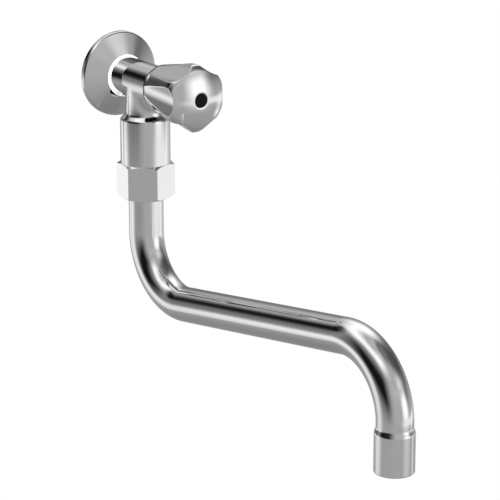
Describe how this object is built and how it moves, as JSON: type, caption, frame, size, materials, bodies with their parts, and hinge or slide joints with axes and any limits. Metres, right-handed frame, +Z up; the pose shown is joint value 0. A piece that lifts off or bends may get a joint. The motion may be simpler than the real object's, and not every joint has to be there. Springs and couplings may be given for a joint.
{
  "type": "wall faucet",
  "caption": "Chromed wall-mounted commercial faucet with a horizontal valve body, round rosette, lobed turn handle and a long swivel spout that drops, runs out and turns down.",
  "frame": {"origin": "centre of the inlet thread at the wall plane, on the valve body's axis", "axes": "+Y into the wall along the inlet, -Y out towards the user, +Z up, +X to the right of a user who faces the tap"},
  "size_m": [0.054, 0.311, 0.2068],
  "materials": {
    "chrome_body": "polished chrome plate on cast brass",
    "chrome_rosette": "polished chrome plate on pressed brass",
    "chrome_nut": "polished chrome plate on turned brass",
    "chrome_handle": "polished chrome plate on a die casting",
    "chrome_spout": "polished chrome plate on bent brass tube",
    "raw_brass": "turned brass, unplated",
    "steel": "stainless steel, turned",
    "seal_rubber": "matt black rubber",
    "fibre": "pressed fibre gasket",
    "slide_plastic": "natural slide plastic",
    "insert_plastic": "moulded white-grey plastic",
    "black_plastic": "gloss black moulding"
  },
  "bodies": {
    "valve_housing": {"tap_body": "chrome_body", "wall_rosette": "chrome_rosette", "rosette_grip_ring": "seal_rubber", "valve_seat": "steel", "headwork_bonnet": "raw_brass", "bonnet_gasket": "fibre", "upper_slide_ring": "slide_plastic", "lower_slide_ring": "slide_plastic", "union_nut": "chrome_nut"},
    "turn_handle": {"handle": "chrome_handle", "handle_insert": "raw_brass", "handle_screw": "steel", "index_plug": "black_plastic", "spindle": "raw_brass", "spindle_o_rings": "seal_rubber", "spindle_circlip": "steel"},
    "valve": {"valve_carrier": "raw_brass", "seat_washer": "seal_rubber", "washer_screw": "steel"},
    "swivel_spout": {"spout_tail": "raw_brass", "spout_o_rings": "seal_rubber", "spout_tube": "chrome_spout", "aerator_gasket": "seal_rubber", "aerator_housing": "chrome_body", "jet_insert": "insert_plastic", "outlet_screen": "steel"}
  },
  "joints": [
    {"name": "handle_turn", "type": "hinge", "parent": "valve_housing", "child": "turn_handle", "pos_m": [0, -0.06, 0], "axis": [0, -1, 0], "range_deg": [0, 1080]},
    {"name": "valve_lift", "type": "slide", "parent": "valve_housing", "child": "valve", "axis": [0, -1, 0], "range_m": [0, 0.0045]},
    {"name": "spout_swivel", "type": "hinge", "parent": "valve_housing", "child": "swivel_spout", "pos_m": [0, -0.031, -0.06], "axis": [0, 0, 1], "range_deg": [-90, 90]}
  ],
  "couplings": [
    {"joint": "valve_lift", "follows": "handle_turn", "m_per_rad": 0.00023873}
  ]
}
